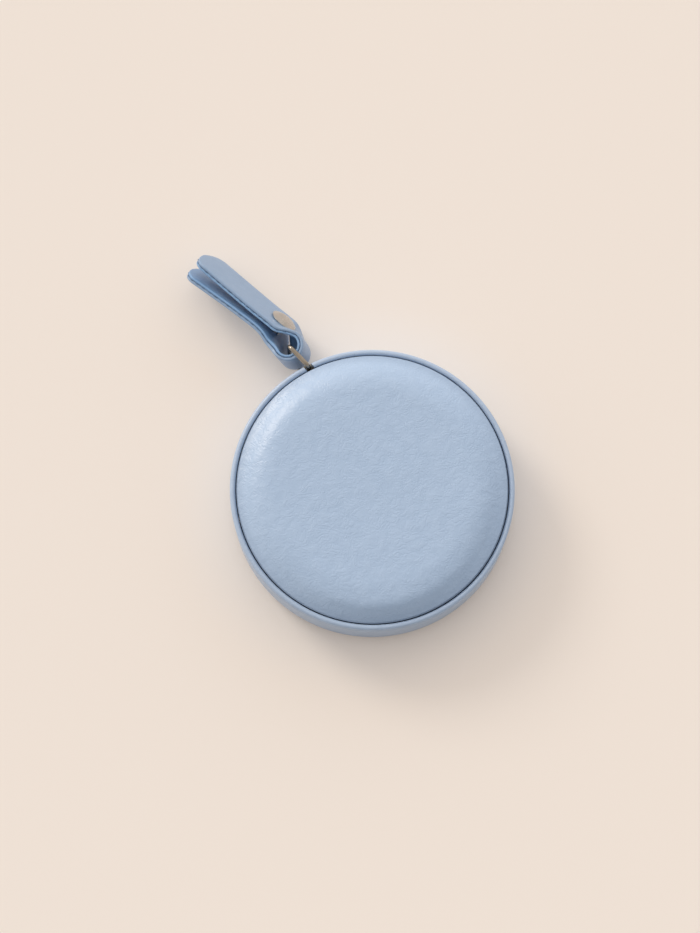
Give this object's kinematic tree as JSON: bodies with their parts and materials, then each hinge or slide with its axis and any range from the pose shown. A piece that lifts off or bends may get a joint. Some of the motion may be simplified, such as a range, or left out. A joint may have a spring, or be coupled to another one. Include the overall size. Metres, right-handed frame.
{
  "type": "cloth tape measure",
  "caption": "Round padded leather tape measure with a spring reel, a brake button under the front and a folded leather pull strap on a wire ring.",
  "frame": {"origin": "on the axis of the round case, in the flat back face it lies on", "axes": "+Z out of the padded front, +Y the way the tape pulls out, +X to the right of the tape seen from the front"},
  "size_m": [0.062, 0.0964, 0.018],
  "materials": {
    "case_leather": "fine wrinkled grain, soft sheen",
    "strap_leather": "fine grain, soft sheen",
    "strap_lining": "matte",
    "foam": "matte foam",
    "shell_plastic": "moulded",
    "reel_plastic": "moulded",
    "spring_steel": "bright drawn",
    "nickel": "polished, warm tint",
    "rubber": "matte",
    "tape_cloth": "coated fibre cloth"
  },
  "bodies": {
    "case": {"front_leather": "case_leather", "front_foam": "foam", "front_shell": "shell_plastic", "rim_band": "case_leather", "back_shell": "shell_plastic", "back_foam": "foam", "back_leather": "case_leather", "axle": "spring_steel", "axle_screw": "spring_steel", "thrust_washer": "spring_steel", "power_spring": "spring_steel", "button_spring": "spring_steel"},
    "reel": {"reel_drum": "reel_plastic", "reel_lid": "reel_plastic", "tape_coil": "tape_cloth"},
    "button": {"press_button": "reel_plastic", "brake_pad": "rubber"},
    "tape_end": {"tape_lead": "tape_cloth", "tape_end_clip": "nickel", "clip_rivet": "nickel"},
    "ring": {"pull_ring": "nickel"},
    "strap": {"strap_outer": "strap_leather", "strap_lining": "strap_lining", "strap_rivet_cap": "nickel", "strap_rivet_post": "nickel"}
  },
  "joints": [
    {"name": "tape_pull", "type": "slide", "parent": "case", "child": "tape_end", "axis": [0, 1, 0], "range_m": [0, 1.45], "deforming": ["tape_lead"]},
    {"name": "reel_spin", "type": "hinge", "parent": "case", "child": "reel", "pos_m": [0, 0, 0.008], "axis": [0, 0, 1], "range_deg": [0, 4900], "deforming": ["power_spring"]},
    {"name": "ring_swing", "type": "hinge", "parent": "tape_end", "child": "ring", "pos_m": [0.0085, 0.02934, 0.00845], "axis": [0, 0, 1], "range_deg": [-15, 15]},
    {"name": "strap_swing", "type": "hinge", "parent": "ring", "child": "strap", "pos_m": [0.0085, 0.03524, 0.00845], "axis": [0, 0, 1], "range_deg": [-75, 45]},
    {"name": "button_press", "type": "slide", "parent": "case", "child": "button", "axis": [0, 0, -1], "range_m": [0, 0.0012], "stiffness_N_per_m": 300, "springref_m": -0.003, "deforming": ["button_spring"]}
  ],
  "couplings": [
    {"joint": "reel_spin", "follows": "tape_pull", "rad_per_m": 58.5}
  ]
}
